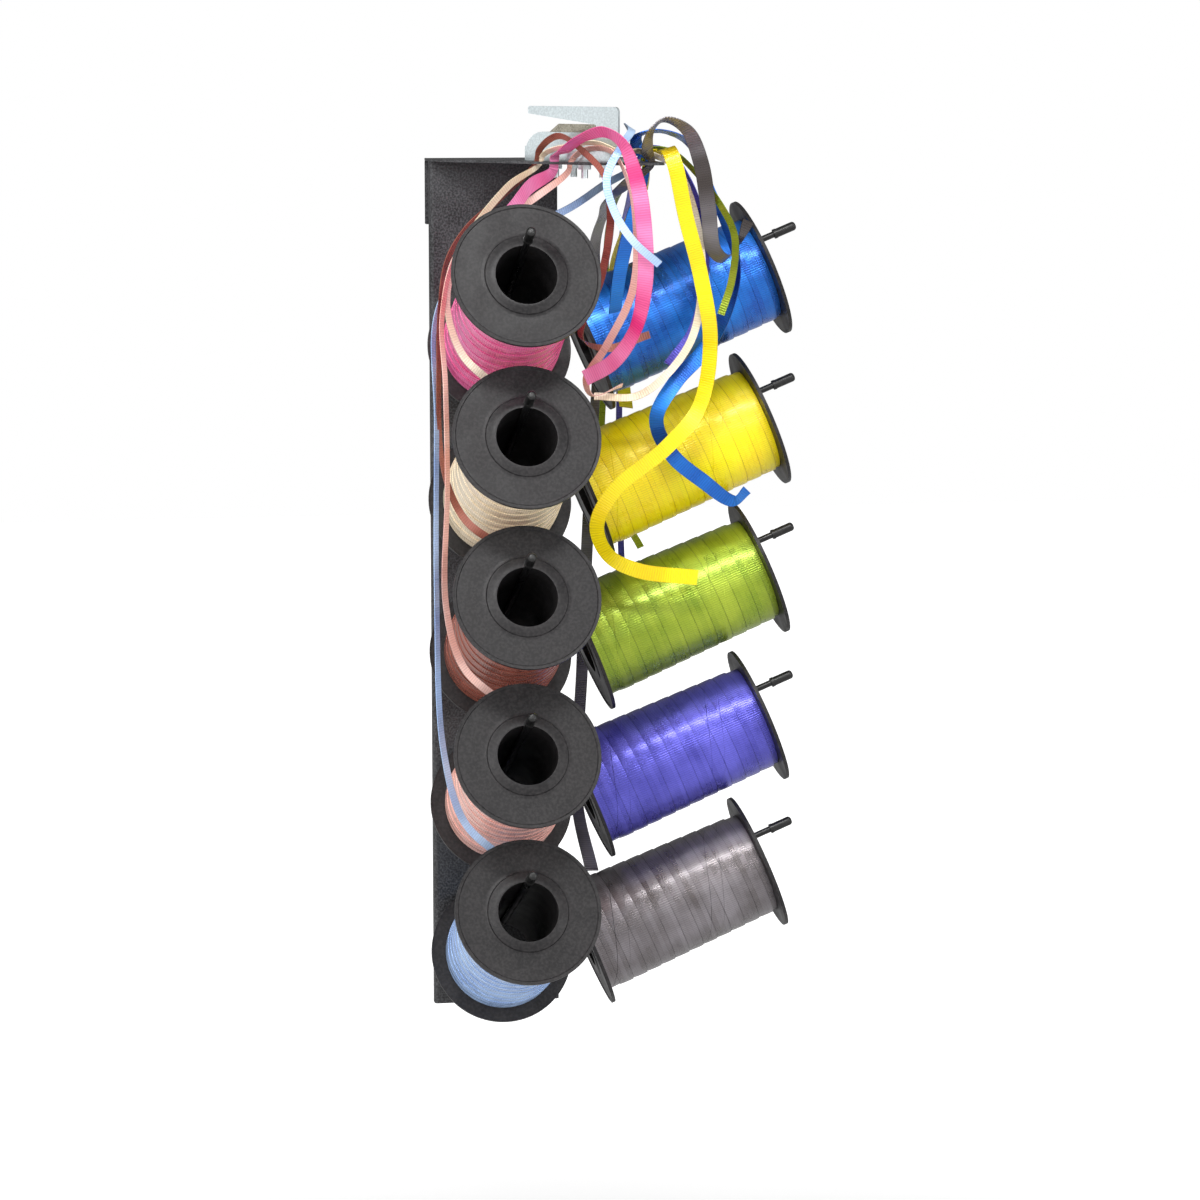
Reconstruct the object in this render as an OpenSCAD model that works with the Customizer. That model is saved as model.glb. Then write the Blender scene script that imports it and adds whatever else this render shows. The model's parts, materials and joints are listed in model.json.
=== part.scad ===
// Ribbon spool dispenser: a sheet-steel post hangs on a board by a folded hook, spools turn
// on tilted rods in two columns, and a guide plate on top carries a ribbon cutter.
// Origin: centre of the hook's seat. X runs right, Y runs back, Z runs up. Millimetres.

/* [View] */
// Sub-part to draw

/* [Post] */
// Width of the front face
post_w = 80; // [76:1:90]
// Depth of the right flange, which carries the side rods
post_d = 25; // [24:1:30]
// Thickness of the sheet steel
sheet_t = 1.5; // [1:0.1:2]
// Depth of the narrow left lip
lip_d = 7; // [5:0.5:8]
// Outer radius of the post's bends
bend_r = 2.5; // [2.2:0.1:3]
// Diameter of the holes for wall screws
wall_hole_d = 5; // [4:0.5:6]

/* [Rods] */
// Diameter of a rod
rod_d = 4; // [3:0.1:5]
// Drop from the guide plate's underside to the first rod
first_drop = 105; // [104:1:110]
// Distance from rod to rod
rod_pitch = 95.5; // [95:0.5:100]
// From the last rod down to the foot of the post
foot_drop = 45; // [40:1:80]
// Tilt of the front rods above level
front_tilt = 24.5; // [22:0.5:25]
// Tilt of the side rods above level
side_tilt = 22.5; // [21:0.5:24]
// How far a rod runs on behind the sheet
rod_tail = 2; // [1:0.5:3]
// From the spool's end to the tip of the cap
rod_reach = 29.5; // [25:0.5:40]
// Outer diameter of a rod cap
cap_d = 5.7; // [5.4:0.1:7]
// Length of a rod cap
cap_len = 15; // [12:0.5:20]

/* [Spools] */
// Diameter of the flanges
flange_d = 89; // [84:1:89]
// Length over both flanges
spool_len = 124; // [110:1:124]
// Diameter of the bore
bore_d = 36.7; // [32:0.1:38]
// Wall of the hub tube
hub_wall = 2.6; // [2:0.1:3]
// Thickness of a flange
flange_t = 2.2; // [2:0.1:3]
// Diameter of the raised ring round the bore
ring_d = 48.6; // [46:0.2:52]
// Width of the raised rim
rim_w = 1.8; // [1:0.1:3]
// Depth of the flange face below its rim
face_drop = 0.6; // [0.4:0.1:0.8]

/* [Windings] */
// Outer radius of a winding at the inner flange
wind_r_in = 36.5; // [34:0.5:38]
// Outer radius of a winding at the outer flange
wind_r_out = 33.5; // [32:0.5:36]
// Width of the wound ribbon
band_w = 9.5; // [9:0.1:9.6]
// Thickness of the outer layer
band_t = 0.8; // [0.6:0.1:1]
// Turns of the outer layer
band_turns = 11; // [9:1:11]

/* [Guide plate] */
// Reach of the nose's left corner in front of the post's middle
nose_left_y = 106; // [104:1:110]
// Distance of the nose's left corner to the right of the post's middle
nose_left_x = 48.5; // [46:0.5:52]
// Reach of the nose's right corner
nose_right_y = 117; // [115:1:120]
// Distance of the nose's right corner to the right of the post's middle
nose_right_x = 89; // [88:0.5:92]
// Distance of the right edge at the back
plate_right_x = 93; // [92:0.5:96]
// Start of the slanted edge in front of the post
slant_start_y = 17; // [16:0.5:18]
// Radius of the nose's right corner
nose_r = 7; // [4:0.5:9]
// Height of the rear hook, over the plate
hook_h = 41; // [35:1:60]
// Radius of the hook's corners
hook_r = 2.5; // [1:0.5:5]
// Diameter of a ribbon guide hole
guide_d = 8; // [6:0.5:8]
// Distance of the guide holes from the plate's edges
guide_inset = 6; // [5.8:0.1:6.5]
// Distance of the first guide hole of the slanted edge from the nose
slant_first = 24; // [22:1:30]
// Distance between the guide holes of the slanted edge
slant_pitch = 12; // [11:0.5:13]
// Distance between the guide holes of the right edge
right_pitch = 18; // [14:0.5:20]

/* [Cutter] */
// Place of the cutter, to the right of the post's middle
cut_x = 41; // [39:0.5:42]
// Place of the cutter, in front of the post's middle
cut_y = 66.5; // [65:0.5:68]
// Turn of the cutter towards the nose
cut_turn = 51.5; // [50:0.5:53]
// Thickness of the cutter's sheet
cut_t = 1.6; // [1.2:0.1:2]
// Height of the cutter
cut_h = 33; // [30:0.5:36]
// Height of the slot's lower edge
slot_z = 17.5; // [15:0.5:18]
// Length of the arm above the slot
arm_len = 73; // [70:0.5:74]
// Length of the wall below the slot
wall_len = 58.5; // [56:0.5:60]
// Diameter of the slot's round end
slot_d = 5; // [4.5:0.5:6]
// Opening of the slot at the arm's free end
slot_mouth = 11; // [9:0.5:12]
// Thickness of the blade
blade_t = 0.6; // [0.5:0.1:0.8]
// Screw spacing along the cutter
screw_dx = 23.6; // [22:0.2:25]
// Screw spacing across the cutter
screw_dy = 16.4; // [15:0.2:17]
// Diameter of the screws
screw_d = 4; // [3.5:0.1:4]
// Length of a screw below the guide plate
screw_tail = 8.5; // [7:0.5:10]

/* [Ribbons] */
// Width of a wide loose ribbon
wide_w = 9.5; // [9:0.1:9.6]
// Width of a narrow loose ribbon
narrow_w = 4.8; // [4:0.1:5]
// Thickness of a loose ribbon
ribbon_t = 0.6; // [0.3:0.05:0.6]

/* [Clearances] */
// Radial clearance of a rod in its hole and its cap
snug = 0.05; // [0.03:0.01:0.1]
// Radial clearance of a screw in the sheets
screw_play = 0.25; // [0.2:0.05:0.4]
// Gap between the rod and the bore that hangs on it
hang_gap = 0.3; // [0.3:0.05:0.5]
// Gap between the inner flange and the post
stand_off = 1; // [0.6:0.1:2]
// Gap between a winding and its spool
wind_gap = 0.3; // [0.2:0.05:0.4]

/* [Hidden] */
$fn = 96;
over = 1;
rods_per_column = 5;
post_h = first_drop + rod_pitch * (rods_per_column - 1) + foot_drop;
rod_r = rod_d / 2;
cap_r = cap_d / 2;
flange_r = flange_d / 2;
bore_r = bore_d / 2;
hub_r = bore_r + hub_wall;
ring_r = ring_d / 2;
spool_drop = bore_r - rod_r - hang_gap;
hook_right = post_w / 2 - sheet_t - snug;

function rod_z(i) = -first_drop - rod_pitch * (i - 1);
function spool_start(tilt) = stand_off + (flange_r - spool_drop) * tan(tilt);
function rod_len(tilt) = spool_start(tilt) + spool_len + rod_reach;

// Rounded corners: each entry of an outline is [x, y, radius], gone round anticlockwise
corner_steps = 6;
function unit(v) = v / norm(v);
function xy(p) = [p[0], p[1]];
function arc_at(a, p, b, r) =
    let (da = unit(a - p), db = unit(b - p), half = acos(da * db) / 2,
         c = p + unit(da + db) * r / sin(half), ta = p + da * r / tan(half), sweep = 180 - 2 * half,
         side = sign(cross(p - a, b - p)), v = ta - c)
    [for (k = [0:corner_steps]) let (t = side * sweep * k / corner_steps)
        c + [v[0] * cos(t) - v[1] * sin(t), v[0] * sin(t) + v[1] * cos(t)]];
function rounded(outline) = [for (k = [0:len(outline) - 1])
    let (n = len(outline), p = outline[k], a = outline[(k + n - 1) % n], b = outline[(k + 1) % n])
    each (p[2] == 0 ? [xy(p)] : arc_at(xy(a), xy(p), xy(b), p[2]))];

// Spools and windings: a column's frame has Z along the rod and Y up across it
module on_front(i) {
    translate([0, -post_d / 2, rod_z(i)])
        rotate([90 - front_tilt, 0, 0])
            children();
}

module on_side(i) {
    translate([post_w / 2, 0, rod_z(i)])
        rotate([0, 0, 90])
            rotate([90 - side_tilt, 0, 0])
                children();
}

module at_spool(tilt) {
    translate([0, -spool_drop, spool_start(tilt)])
        children();
}

// Winding: a plain core under one helical band
band_rings = 10;
band_start = flange_t + wind_gap;
band_room = spool_len - 2 * band_start;
band_pitch = (band_room - band_w) / (band_turns - 1 / band_rings);
core_gap = 0.25;
chord_share = cos(180 / band_rings);
band_last = band_turns * band_rings - 1;
function wind_r(z) = wind_r_in + (wind_r_out - wind_r_in) * z / spool_len;
function band_z(k) = band_start + band_w / 2 + band_pitch * k / band_rings;
function band_point(k, dr, dz) =
    let (z = band_z(k), r = wind_r(z) + dr, t = 360 * k / band_rings)
    [r * cos(t), r * sin(t), z + dz];
band_points = [for (k = [0:band_last]) each [
    band_point(k, -band_t, -band_w / 2), band_point(k, 0, -band_w / 2),
    band_point(k, 0, band_w / 2), band_point(k, -band_t, band_w / 2)]];
// Walls between neighbouring rings; from side flip_from on, each is cut along its other diagonal
function wall_faces(a, b, sides, flip) = flip
    ? [[a, b, a + sides], [b, b + sides, a + sides]]
    : [[a, b, b + sides], [a, b + sides, a + sides]];
function tube_faces(rings, sides, flip_from) = concat(
    [for (k = [0:rings - 2], s = [0:sides - 1])
        each wall_faces(k * sides + s, k * sides + (s + 1) % sides, sides, s >= flip_from)],
    [for (s = [1:sides - 2]) [0, s + 1, s]],
    [for (s = [1:sides - 2]) let (e = (rings - 1) * sides) [e, e + s, e + s + 1]]);
band_gap = min([for (k = [0:band_last - band_rings])
    norm(band_points[4 * k + 2] - band_points[4 * (k + band_rings) + 1])]);
echo(least_gap_between_turns = band_gap);

// Cutter: X along its wall towards the nose, Y to the back of the plate
wall_y = -10.8;
wall_shift = 9;
wall_right = arm_len / 2 + wall_shift;
wall_left = wall_right - wall_len;
arm_left = wall_right - arm_len;
screw_mid_x = 2.2;
screw_mid_y = 2.65;
foot_depth = 26;
foot_r = 3;
joggle = 3;
return_len = 20;
return_left = wall_left - return_len;
slot_land = 19.5;
end_r = 1.5;
blade_lap = 5;
blade_slope = 7.5;
head_h = 2.4;
nut_h = 3.2;

// Guide holes
slant_from = [-post_w / 2, -slant_start_y];
slant_to = [nose_left_x, -nose_left_y];
slant_dir = unit(slant_to - slant_from);
slant_in = [-slant_dir[1], slant_dir[0]];
slant_len = norm(slant_to - slant_from);
slant_last = slant_len - slant_first;
slant_holes = [for (k = [0:4])
    slant_from + slant_dir * (slant_last - slant_pitch * k) + slant_in * guide_inset];
right_first = 15;
right_first_y = -nose_right_y + nose_r + right_first;
right_holes = [for (k = [0:4])
    let (y = right_first_y + right_pitch * k, s = (y + nose_right_y) / (nose_right_y + post_d / 2))
    [nose_right_x + (plate_right_x - nose_right_x) * s - guide_inset, y]];

// Loose ribbons: each point of a route is [x, y, z, turn out of the front, share of the width]
hot_pink_route = [
    [-12, -107, -36, -160, 1], [-2, -107, -25, -150, 1], [9, -98, -13, -150, 1], [26.6, -77, -4, 170, 0.6],
    [27.4, -77.4, 1, -175, 0.55], [27.6, -78.2, 5, -135, 0.7], [29, -95, 7, -130, 1],
    [38, -113, 16, -130, 1], [50, -122, 20, -130, 1], [60, -130, 13, -120, 1], [68, -132, -8, -150, 1],
    [73, -129, -36, -175, 1], [75, -122, -68, -160, 1], [71, -111, -98, -130, 1], [60, -98, -118, -155, 1],
    [45, -84, -129, -160, 1]];
ivory_route = [
    [-12, -107, -132, 10, 1], [-34, -112, -111, 20, 1], [-42, -108, -84, 40, 1], [-36, -98, -56, 40, 1],
    [-22, -91, -35, 30, 1], [-1, -86, -12, 30, 1], [20.2, -68.8, 0, 20, 0.5], [21.3, -70.2, 4.5, 20, 0.7],
    [25, -75, 8, 50, 1], [38, -90, 12, 60, 1], [50, -105, 13, 60, 1], [60.5, -112, 8, 50, 1],
    [69, -106, 8, 50, 1], [76, -94, 8, 50, 1], [90, -86, 4, 50, 1], [104, -73, -4, 30, 1],
    [117, -66, -35, 10, 1], [121, -64, -75, 0, 1], [113, -62, -112, 10, 1], [84, -57, -142, 30, 1],
    [56, -52, -143, 30, 1]];
terracotta_route = [
    [-10, -108, -228, 10, 1], [-33, -112, -210, 20, 1], [-46, -114, -178, 50, 1], [-48, -113, -112, 50, 1],
    [-46, -105, -84, 50, 1], [-40, -92, -57, 50, 1], [-27, -84, -38, 40, 1], [-7, -80, -21, 40, 1],
    [17.5, -66.5, 0, 40, 0.7], [20, -70, 9, 35, 1], [29, -84, 17, 45, 1], [41, -103, 8, 50, 1],
    [52, -112, -6, 55, 1], [57, -105, -30, 30, 1], [55, -84, -68, 25, 1], [46, -64, -106, 65, 1],
    [62, -60, -113, 150, 1], [90, -56, -105, -175, 1]];
peach_route = [
    [-10, -108, -323, -170, 1], [-34, -113, -300, -160, 1], [-45, -116, -262, -140, 1],
    [-44, -118, -190, -130, 1], [-45, -119, -128, -130, 1], [-46, -114, -88, -130, 1],
    [-35, -104, -51, -130, 1], [-10, -97, -34, -140, 1], [14, -92, -19, -160, 1],
    [34.8, -85.3, -4, -155, 0.8], [36, -85, 1, -150, 0.7], [42, -91, 8, -130, 1], [57, -110, 8, -115, 1],
    [66, -119, -12, -105, 1], [71, -116, -44, -140, 1], [70, -106, -76, -155, 1], [57, -88, -110, -150, 1],
    [48, -70, -131, -140, 1], [54, -60, -142, -100, 1], [73, -56, -136, -120, 1]];
light_blue_route = [
    [-10, -108, -419, -170, 1], [-34, -112, -395, -160, 1], [-47, -116, -350, -140, 1],
    [-51, -119, -258, -130, 1], [-50, -116, -150, -130, 1], [-48, -100, -90, -130, 1],
    [-31, -88, -60, -140, 1], [-5, -76, -44, -140, 1], [37, -64, -28, -160, 1], [63, -46, -14, -165, 1],
    [84.4, -24, -4, 160, 0.8], [85.2, -23.4, 0, 175, 0.55], [84.6, -25.4, 6, -155, 0.9],
    [82, -44, 12, -135, 1], [72, -74, 22, -115, 1], [70, -103, 20, -150, 1], [61, -118, 11, -145, 1],
    [52, -121, -7, -160, 1], [56, -125, -27, -160, 1], [66, -132, -44, -160, 1], [82, -131, -58, -160, 1]];
royal_blue_route = [
    [70, -46, -92, -150, 1], [71, -60, -65, -160, 1], [77, -72, -31, -160, 1], [84.5, -78.9, 0, -140, 0.4],
    [83.4, -79.3, 5, -155, 0.55], [77, -83.5, 10, -160, 1], [76, -91, 17, -125, 1],
    [85.5, -96.5, 20, -105, 1], [97, -97, 18, -105, 1], [111, -88, 9, -110, 1], [123, -78, -15, -110, 1],
    [134, -74, -38, -115, 1], [141, -71, -60, -110, 1], [138, -61, -88, -130, 1], [124, -54, -116, -160, 1],
    [107, -52, -135, -160, 1], [95, -52, -158, -145, 1], [105, -50, -180, -165, 1],
    [125, -49, -197, -165, 1], [145, -49, -210, -140, 1], [153, -50, -203, -140, 1]];
yellow_route = [
    [89, 20, -157, 20, 1], [88, 41, -122, 20, 1], [84, 36, -74, 30, 1], [86, 0, -42, 30, 1],
    [87, -42, -18, 20, 1], [83.9, -74.4, -4, 20, 0.6], [84, -75.4, 0, 20, 0.42], [85, -75.6, 4, 25, 0.6],
    [93, -77, 7, 60, 1], [95, -88.5, 9, 165, 1], [98, -95, 0, -165, 1], [106, -88, -31, -180, 1],
    [118, -76, -69, -175, 1], [126, -66, -110, -150, 1], [120, -60, -151, -150, 1],
    [100, -58, -175, -175, 1], [68, -57, -201, -175, 1], [57, -56, -223, -150, 1], [64, -56, -241, -150, 1],
    [82, -56, -251, -175, 1], [121, -53, -257, -180, 1]];
lime_green_route = [
    [100, 28, -248, -160, 1], [80, 47, -206, -150, 1], [81, 49, -120, -150, 1], [80, 42, -60, -150, 1],
    [79, 12, -30, -150, 1], [81, -30, -12, -150, 1], [84, -59, 0, -150, 0.8], [89, -67, 8, -140, 1],
    [100, -76, 7, -120, 1], [114, -81, -6, -120, 1], [128, -89, -26, -130, 1], [137, -85, -44, -140, 1],
    [137, -76, -72, -140, 1], [131, -74, -92, -150, 1]];
violet_route = [
    [121, 30, -326, 20, 1], [96, 48, -286, 30, 1], [91, 54, -230, 30, 1], [91, 54, -120, 30, 1],
    [90, 44, -55, 30, 1], [88, 4, -24, 30, 1], [85, -41, 0, 30, 0.8], [90, -52, 9, 55, 1],
    [101, -62, 7, 85, 1], [114, -66, -14, 60, 1], [122, -62, -42, 25, 1], [124, -59, -70, 20, 1],
    [117, -53, -103, 20, 1], [102, -51, -124, 30, 1]];
grey_route = [
    [67, 22, -457, -160, 1], [62, 50, -416, -150, 1], [66, 54, -330, -150, 1], [71, 55, -220, -150, 1],
    [78, 57, -116, -150, 1], [73, 47, -62, -150, 1], [69, -14, -32, -155, 1], [64.5, -70, -20, -150, 1],
    [74, -86, -9, -145, 1], [83.6, -95, 0, -135, 0.55], [83.2, -96, 4, -150, 0.6], [80, -101, 9, -150, 1],
    [81, -107, 20, -120, 1], [89, -108, 27, -110, 1], [103, -106, 21, -130, 1], [113, -100, 1, -160, 1],
    [120, -88, -27, -170, 1], [128, -66, -53, -155, 1], [137, -58, -59, -120, 1], [145, -54, -51, -110, 1],
    [152, -54, -36, -150, 1]];
ribbon_shares = [[0.4, -0.5], [-0.4, -0.5], [-0.5, -0.25], [-0.5, 0.25], [-0.4, 0.5], [0.4, 0.5],
    [0.5, 0.25], [0.5, -0.25]];
function place(p) = [p[0], p[1], p[2]];
function ribbon_ring(route, k, w) =
    let (n = len(route), p = route[k],
         along = unit(place(route[min(k + 1, n - 1)]) - place(route[max(k - 1, 0)])),
         flat = unit(cross([0, -1, 0], along)), face = cross(along, flat),
         across = flat * cos(p[3]) + face * sin(p[3]), up = cross(along, across))
    [for (s = ribbon_shares) place(p) + across * s[0] * w * p[4] + up * s[1] * ribbon_t];

steel_black = [0.13, 0.13, 0.14];
spool_black = [0.2, 0.2, 0.21];
vinyl_black = [0.05, 0.05, 0.055];
zinc = [0.78, 0.79, 0.8];
blade_grey = [0.6, 0.58, 0.54];
front_colours = [[0.93, 0.35, 0.62], [0.95, 0.9, 0.78], [0.55, 0.3, 0.22], [0.97, 0.7, 0.62],
    [0.65, 0.78, 0.93]];
side_colours = [[0.12, 0.28, 0.72], [0.98, 0.87, 0.05], [0.55, 0.72, 0.1], [0.45, 0.38, 0.72],
    [0.32, 0.32, 0.33]];

// A bent-up channel: a wide front, a full flange on the right and a lip on the left
module post_section() {
    inner_r = bend_r - sheet_t;
    difference() {
        union() {
            translate([-post_w / 2 + bend_r, -post_d / 2])
                square([post_w - 2 * bend_r, sheet_t]);
            translate([-post_w / 2, -post_d / 2 + bend_r])
                square([sheet_t, lip_d - bend_r]);
            translate([post_w / 2 - sheet_t, -post_d / 2 + bend_r])
                square([sheet_t, post_d - bend_r]);
            bend(-1);
            bend(1);
        }
        for (side = [-1, 1])
            translate([side * (post_w / 2 - bend_r), -post_d / 2 + bend_r])
                circle(inner_r);
    }
}

module bend(side) {
    intersection() {
        translate([side * (post_w / 2 - bend_r), -post_d / 2 + bend_r])
            circle(bend_r);
        translate([side > 0 ? post_w / 2 - bend_r : -post_w / 2, -post_d / 2])
            square([bend_r, bend_r]);
    }
}

module rod_hole(tilt) {
    translate([0, 0, -rod_tail - sheet_t - over])
        cylinder(h = rod_tail + sheet_t + 2 * over + rod_d * tan(tilt), r = rod_r + snug);
}

module wall_holes() {
    for (i = [1.5, rods_per_column - 0.5])
        translate([0, -post_d / 2 - over, rod_z(i)])
            rotate([-90, 0, 0])
                cylinder(h = sheet_t + 2 * over, d = wall_hole_d);
}

module post_channel() {
    color(steel_black)
        difference() {
            translate([0, 0, -post_h])
                linear_extrude(post_h)
                    post_section();
            for (i = [1:rods_per_column]) {
                on_front(i) rod_hole(front_tilt);
                on_side(i) rod_hole(side_tilt);
            }
            wall_holes();
        }
}

module plate_outline() {
    polygon(rounded([[-post_w / 2, post_d / 2, 0], [-post_w / 2, -slant_start_y + 1.5 * sheet_t, 0],
        [slant_from[0] + sheet_t, slant_from[1], 0], [slant_to[0], slant_to[1], nose_r],
        [nose_right_x, -nose_right_y, nose_r], [plate_right_x, post_d / 2, nose_r / 2]]));
}

module hook_outline() {
    polygon(rounded([[-post_w / 2, -hook_h, hook_r / 3], [hook_right, -hook_h, hook_r],
        [hook_right, 0, 0], [-post_w / 2, 0, hook_r]]));
}

module guide_plate() {
    color(steel_black)
        difference() {
            union() {
                linear_extrude(sheet_t)
                    plate_outline();
                translate([0, post_d / 2, sheet_t])
                    rotate([90, 0, 0])
                        linear_extrude(sheet_t)
                            hook_outline();
            }
            for (p = concat(slant_holes, right_holes))
                translate([p[0], p[1], -over])
                    cylinder(h = sheet_t + 2 * over, d = guide_d);
            on_cutter()
                at_screws()
                    translate([0, 0, -sheet_t - over])
                        cylinder(h = sheet_t + 2 * over, r = screw_d / 2 + screw_play);
        }
}

module on_cutter() {
    translate([cut_x, -cut_y, sheet_t])
        rotate([0, 0, -cut_turn])
            children();
}

module at_screws() {
    for (sx = [-1, 1], sy = [-1, 1])
        translate([screw_mid_x + sx * screw_dx / 2, screw_mid_y + sy * screw_dy / 2, 0])
            children();
}

// The wall's outline has X along the cutter and Y up
module cutter_wall() {
    slot_end = wall_right - slot_land;
    slot_mid = slot_z + slot_d / 2;
    slot_lean = atan((slot_mouth - slot_d) / (slot_end - arm_left));
    difference() {
        polygon(rounded([[wall_left, 0, 0], [wall_right, 0, 0], [wall_right, cut_h, 2 * end_r],
            [arm_left, cut_h, end_r], [arm_left, slot_z + slot_mouth - end_r, end_r],
            [wall_left, slot_z + slot_mouth - 2 * end_r, 0]]));
        translate([slot_end, slot_mid])
            circle(slot_d / 2);
        polygon([[slot_end, slot_z], [slot_end, slot_z + slot_d],
            [arm_left - over, slot_z + slot_d + (slot_end - arm_left + over) * tan(slot_lean)],
            [arm_left - over, slot_z]]);
    }
}

module return_wall() {
    corner_r = slot_z - 2 * cut_t;
    polygon(rounded([[return_left, 0, 0], [wall_left, 0, 0], [wall_left, slot_z, 0],
        [return_left, slot_z, corner_r]]));
}

module cutter_bracket() {
    color(zinc)
        on_cutter()
            difference() {
                union() {
                    translate([0, wall_y + cut_t, 0])
                        rotate([90, 0, 0])
                            linear_extrude(cut_t)
                                cutter_wall();
                    translate([0, wall_y + joggle + cut_t, 0])
                        rotate([90, 0, 0])
                            linear_extrude(cut_t)
                                return_wall();
                    translate([wall_left - cut_t, wall_y, 0])
                        cube([cut_t, joggle + cut_t, slot_z]);
                    translate([return_left, wall_y + joggle, 0])
                        cube([cut_t, foot_depth / 2, slot_z / 2]);
                    translate([return_left, wall_y, 0])
                        foot();
                }
                at_screws()
                    translate([0, 0, -over])
                        cylinder(h = cut_t + 2 * over, r = screw_d / 2 + screw_play);
            }
}

module foot() {
    foot_right = wall_right - return_left - foot_r;
    linear_extrude(cut_t)
        polygon(rounded([[0, joggle, 0], [wall_left - return_left, joggle, 0],
            [wall_left - return_left, 0, 0], [foot_right, 0, 0],
            [foot_right, foot_depth, foot_r], [0, foot_depth, foot_r]]));
}

module cutter_blade() {
    blade_left = wall_left + cut_t;
    blade_right = wall_right - slot_land;
    blade_low = slot_z - blade_lap;
    blade_top = slot_z + blade_lap;
    color(blade_grey)
        on_cutter()
            translate([0, wall_y + cut_t + blade_t, 0])
                rotate([90, 0, 0])
                    linear_extrude(blade_t)
                        polygon([[blade_left, blade_low], [blade_right, blade_low],
                            [blade_right, blade_top], [blade_left + blade_slope, blade_top],
                            [blade_left, slot_z]]);
}

module cutter_screws() {
    head_r = screw_d * 0.75;
    dome_r = head_r / 2;
    head = rounded([[0, 0, 0], [head_r, 0, 0], [head_r, head_h, dome_r], [0, head_h, 0]]);
    color(zinc)
        on_cutter()
            at_screws() {
                translate([0, 0, -sheet_t - screw_tail])
                    cylinder(h = sheet_t + screw_tail + cut_t + over / 2, d = screw_d);
                translate([0, 0, cut_t])
                    rotate_extrude()
                        polygon(head);
            }
}

module cutter_nuts() {
    nut_w = screw_d * 1.75;
    color(zinc)
        on_cutter()
            at_screws()
                translate([0, 0, -sheet_t - nut_h])
                    difference() {
                        cylinder(h = nut_h, d = nut_w / cos(30), $fn = 6);
                        translate([0, 0, -over])
                            cylinder(h = nut_h + 2 * over, r = screw_d / 2 + snug);
                    }
}

module rod(tilt) {
    end_wall = cap_r - rod_r;
    color(steel_black)
        translate([0, 0, -rod_tail - sheet_t])
            cylinder(h = rod_tail + sheet_t + rod_len(tilt) - 2 * end_wall, r = rod_r);
}

// A soft cap with a rounded tip and a thicker mouth
module rod_cap(tilt) {
    mouth_r = cap_r + 0.3 * (cap_r - rod_r);
    mouth_l = cap_len / 8;
    floor_z = cap_len - 2 * (cap_r - rod_r) + snug;
    bore = rod_r + snug;
    color(vinyl_black)
        translate([0, 0, rod_len(tilt) - cap_len])
            rotate_extrude()
                polygon(rounded([[bore, 0, 0], [mouth_r, 0, 0], [mouth_r, mouth_l, 0], [cap_r, mouth_l, 0],
                    [cap_r, cap_len, 0.7 * cap_r], [0, cap_len, 0], [0, floor_z, 0], [bore, floor_z, 0]]));
}

module spool(tilt) {
    slope = face_drop;
    far = spool_len - face_drop;
    near_side = spool_len - flange_t;
    color(spool_black)
        at_spool(tilt)
            rotate_extrude()
                polygon([[bore_r, 0], [ring_r, 0], [ring_r + slope, face_drop],
                    [flange_r - rim_w - slope, face_drop], [flange_r - rim_w, 0], [flange_r, 0],
                    [flange_r, flange_t], [hub_r, flange_t], [hub_r, near_side], [flange_r, near_side],
                    [flange_r, spool_len], [flange_r - rim_w, spool_len], [flange_r - rim_w - slope, far],
                    [ring_r + slope, far], [ring_r, spool_len], [bore_r, spool_len]]);
}

module winding(tilt, tint) {
    z0 = band_start;
    z1 = spool_len - band_start;
    core_in = wind_r(z0) - band_t - core_gap;
    core_out = wind_r(z1) - band_t - core_gap;
    core_bore = (hub_r + snug) / chord_share;
    color(tint)
        at_spool(tilt) {
            rotate_extrude($fn = band_rings)
                polygon([[core_bore, z0], [core_in, z0], [core_out, z1], [core_bore, z1]]);
            polyhedron(band_points, tube_faces(band_last + 1, 4, 4), convexity = 10);
        }
}

// A loose ribbon, swept flat along its route
module ribbon(route, w, tint) {
    sides = len(ribbon_shares);
    color(tint)
        polyhedron([for (k = [0:len(route) - 1]) each ribbon_ring(route, k, w)],
            tube_faces(len(route), sides, sides / 2), convexity = 10);
}

post_channel();
guide_plate();
cutter_bracket();
cutter_blade();
cutter_screws();
cutter_nuts();
on_front(1) rod(front_tilt);  // front_rod_1
on_front(2) rod(front_tilt);  // front_rod_2
on_front(3) rod(front_tilt);  // front_rod_3
on_front(4) rod(front_tilt);  // front_rod_4
on_front(5) rod(front_tilt);  // front_rod_5
on_side(1) rod(side_tilt);  // side_rod_1
on_side(2) rod(side_tilt);  // side_rod_2
on_side(3) rod(side_tilt);  // side_rod_3
on_side(4) rod(side_tilt);  // side_rod_4
on_side(5) rod(side_tilt);  // side_rod_5
on_front(1) rod_cap(front_tilt);  // front_cap_1
on_front(2) rod_cap(front_tilt);  // front_cap_2
on_front(3) rod_cap(front_tilt);  // front_cap_3
on_front(4) rod_cap(front_tilt);  // front_cap_4
on_front(5) rod_cap(front_tilt);  // front_cap_5
on_side(1) rod_cap(side_tilt);  // side_cap_1
on_side(2) rod_cap(side_tilt);  // side_cap_2
on_side(3) rod_cap(side_tilt);  // side_cap_3
on_side(4) rod_cap(side_tilt);  // side_cap_4
on_side(5) rod_cap(side_tilt);  // side_cap_5
on_front(1) spool(front_tilt);  // front_spool_1
on_front(2) spool(front_tilt);  // front_spool_2
on_front(3) spool(front_tilt);  // front_spool_3
on_front(4) spool(front_tilt);  // front_spool_4
on_front(5) spool(front_tilt);  // front_spool_5
on_side(1) spool(side_tilt);  // side_spool_1
on_side(2) spool(side_tilt);  // side_spool_2
on_side(3) spool(side_tilt);  // side_spool_3
on_side(4) spool(side_tilt);  // side_spool_4
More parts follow.
